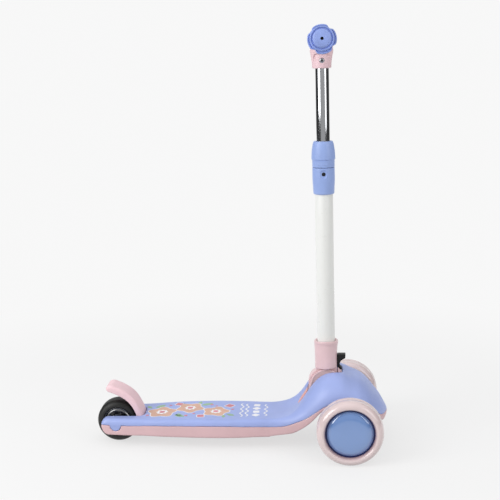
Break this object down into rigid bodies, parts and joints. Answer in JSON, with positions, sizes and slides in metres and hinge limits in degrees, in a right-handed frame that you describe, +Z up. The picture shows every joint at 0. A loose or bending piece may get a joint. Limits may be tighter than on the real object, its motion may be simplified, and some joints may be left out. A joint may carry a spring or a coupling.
{
  "type": "three wheel kids scooter",
  "caption": "Lean-steered kids scooter with a hollow plastic deck and hood, a folding telescopic stem with a T handlebar, paired front wheels and a braked rear wheel.",
  "frame": {"origin": "middle of the footprint on the ground, under the deck", "axes": "+X forward, +Y to the rider's left, +Z up"},
  "size_m": [0.5497, 0.326, 0.7753],
  "materials": {
    "blue_shell": "moulded polypropylene, fine satin texture",
    "pink_shell": "moulded polypropylene, satin",
    "pink_fender": "moulded nylon, satin with a fine grain",
    "pink_tyre": "cast polyurethane, semi gloss",
    "blue_cap": "moulded plastic, high gloss",
    "white_hub": "moulded nylon",
    "black_tyre": "cast polyurethane, satin",
    "black_hub": "moulded plastic, glossy",
    "black_plastic": "moulded nylon",
    "white_paint": "powder coat, semi gloss",
    "chrome_tube": "bright plated tube, slightly brushed",
    "blue_collar": "moulded nylon, satin",
    "blue_grip": "soft rubber, matt",
    "zinc": "zinc plate",
    "black_steel": "black coat",
    "grey_bush": "plain bearing plastic"
  },
  "bodies": {
    "deck": {"deck_top": "blue_shell", "deck_bottom": "pink_shell", "hood_tongue": "pink_shell", "truck_bracket": "black_steel", "lean_bolt": "zinc", "kingpin_left": "zinc", "kingpin_right": "zinc", "rear_axle": "zinc", "rear_spacer_left": "zinc", "rear_spacer_right": "zinc", "fender_pin": "zinc"},
    "swing_base": {"swing_base": "pink_shell", "lean_bush_rear": "grey_bush", "lean_bush_front": "grey_bush", "fold_pin": "zinc"},
    "stem_lower": {"stem_socket": "pink_shell", "outer_tube": "white_paint", "guide_bush": "grey_bush", "collar_body": "blue_collar", "collar_screw": "black_steel", "clamp_collet": "grey_bush"},
    "fold_latch": {"fold_latch": "black_plastic"},
    "twist_sleeve": {"collar_sleeve": "blue_collar"},
    "stem_upper": {"inner_tube": "chrome_tube", "inner_tube_foot": "grey_bush", "tee_joint": "pink_fender", "tee_screw": "zinc", "handlebar": "chrome_tube", "grip_left": "blue_grip", "grip_right": "blue_grip"},
    "knuckle_left": {"knuckle_left": "black_steel", "front_axle_left": "zinc"},
    "knuckle_right": {"knuckle_right": "black_steel", "front_axle_right": "zinc"},
    "tie_rod": {"tie_rod": "zinc", "tie_pin_left": "zinc", "tie_pin_right": "zinc"},
    "front_wheel_left": {"front_tyre_left": "pink_tyre", "front_hub_left": "white_hub", "hub_cap_left": "blue_cap", "front_bearing_inner_left": "zinc", "front_bearing_outer_left": "zinc"},
    "front_wheel_right": {"front_tyre_right": "pink_tyre", "front_hub_right": "white_hub", "hub_cap_right": "blue_cap", "front_bearing_inner_right": "zinc", "front_bearing_outer_right": "zinc"},
    "rear_wheel": {"rear_tyre": "black_tyre", "rear_hub": "black_hub", "rear_bearing_left": "zinc", "rear_bearing_right": "zinc"},
    "brake_fender": {"brake_fender": "pink_fender", "brake_pad": "black_steel"}
  },
  "joints": [
    {"name": "lean", "type": "hinge", "parent": "deck", "child": "swing_base", "pos_m": [0.157, 0, 0.074], "axis": [1, 0, 0], "range_deg": [-8, 8], "stiffness_Nm_per_rad": 60},
    {"name": "steer_left", "type": "hinge", "parent": "deck", "child": "knuckle_left", "pos_m": [0.203, 0.078, 0.06], "axis": [0, 0, 1], "range_deg": [-12.5, 12.5]},
    {"name": "steer_right", "type": "hinge", "parent": "deck", "child": "knuckle_right", "pos_m": [0.203, -0.078, 0.06], "axis": [0, 0, 1], "range_deg": [-12.5, 12.5]},
    {"name": "tie_rod_pivot", "type": "hinge", "parent": "knuckle_left", "child": "tie_rod", "pos_m": [0.184, 0.078, 0.045], "axis": [0, 0, 1], "range_deg": [-12.5, 12.5]},
    {"name": "fold", "type": "hinge", "parent": "swing_base", "child": "stem_lower", "pos_m": [0.1535, 0, 0.114], "axis": [0, 1, 0], "range_deg": [-87, 0]},
    {"name": "latch", "type": "slide", "parent": "stem_lower", "child": "fold_latch", "axis": [-0.0112, 0, 0.9999], "range_m": [0, 0.006], "stiffness_N_per_m": 400, "springref_m": -0.004},
    {"name": "twist", "type": "hinge", "parent": "stem_lower", "child": "twist_sleeve", "pos_m": [0.1626, 0, 0.114], "axis": [-0.0112, 0, 0.9999], "range_deg": [0, 45]},
    {"name": "height", "type": "slide", "parent": "stem_lower", "child": "stem_upper", "axis": [-0.0112, 0, 0.9999], "range_m": [-0.125, 0.03]},
    {"name": "front_roll_left", "type": "hinge", "parent": "knuckle_left", "child": "front_wheel_left", "pos_m": [0.203, 0.117, 0.06], "axis": [0, 1, 0], "continuous": true},
    {"name": "front_roll_right", "type": "hinge", "parent": "knuckle_right", "child": "front_wheel_right", "pos_m": [0.203, -0.117, 0.06], "axis": [0, 1, 0], "continuous": true},
    {"name": "rear_roll", "type": "hinge", "parent": "deck", "child": "rear_wheel", "pos_m": [-0.235, 0, 0.04], "axis": [0, 1, 0], "continuous": true},
    {"name": "brake", "type": "hinge", "parent": "deck", "child": "brake_fender", "pos_m": [-0.19, 0, 0.048], "axis": [0, 1, 0], "range_deg": [-4.5, 0], "stiffness_Nm_per_rad": 6, "springref_deg": 8.59}
  ],
  "couplings": [
    {"joint": "steer_left", "follows": "lean", "ratio": -1.5263},
    {"joint": "steer_right", "follows": "lean", "ratio": -1.5263},
    {"joint": "tie_rod_pivot", "follows": "lean", "ratio": 1.5263}
  ]
}
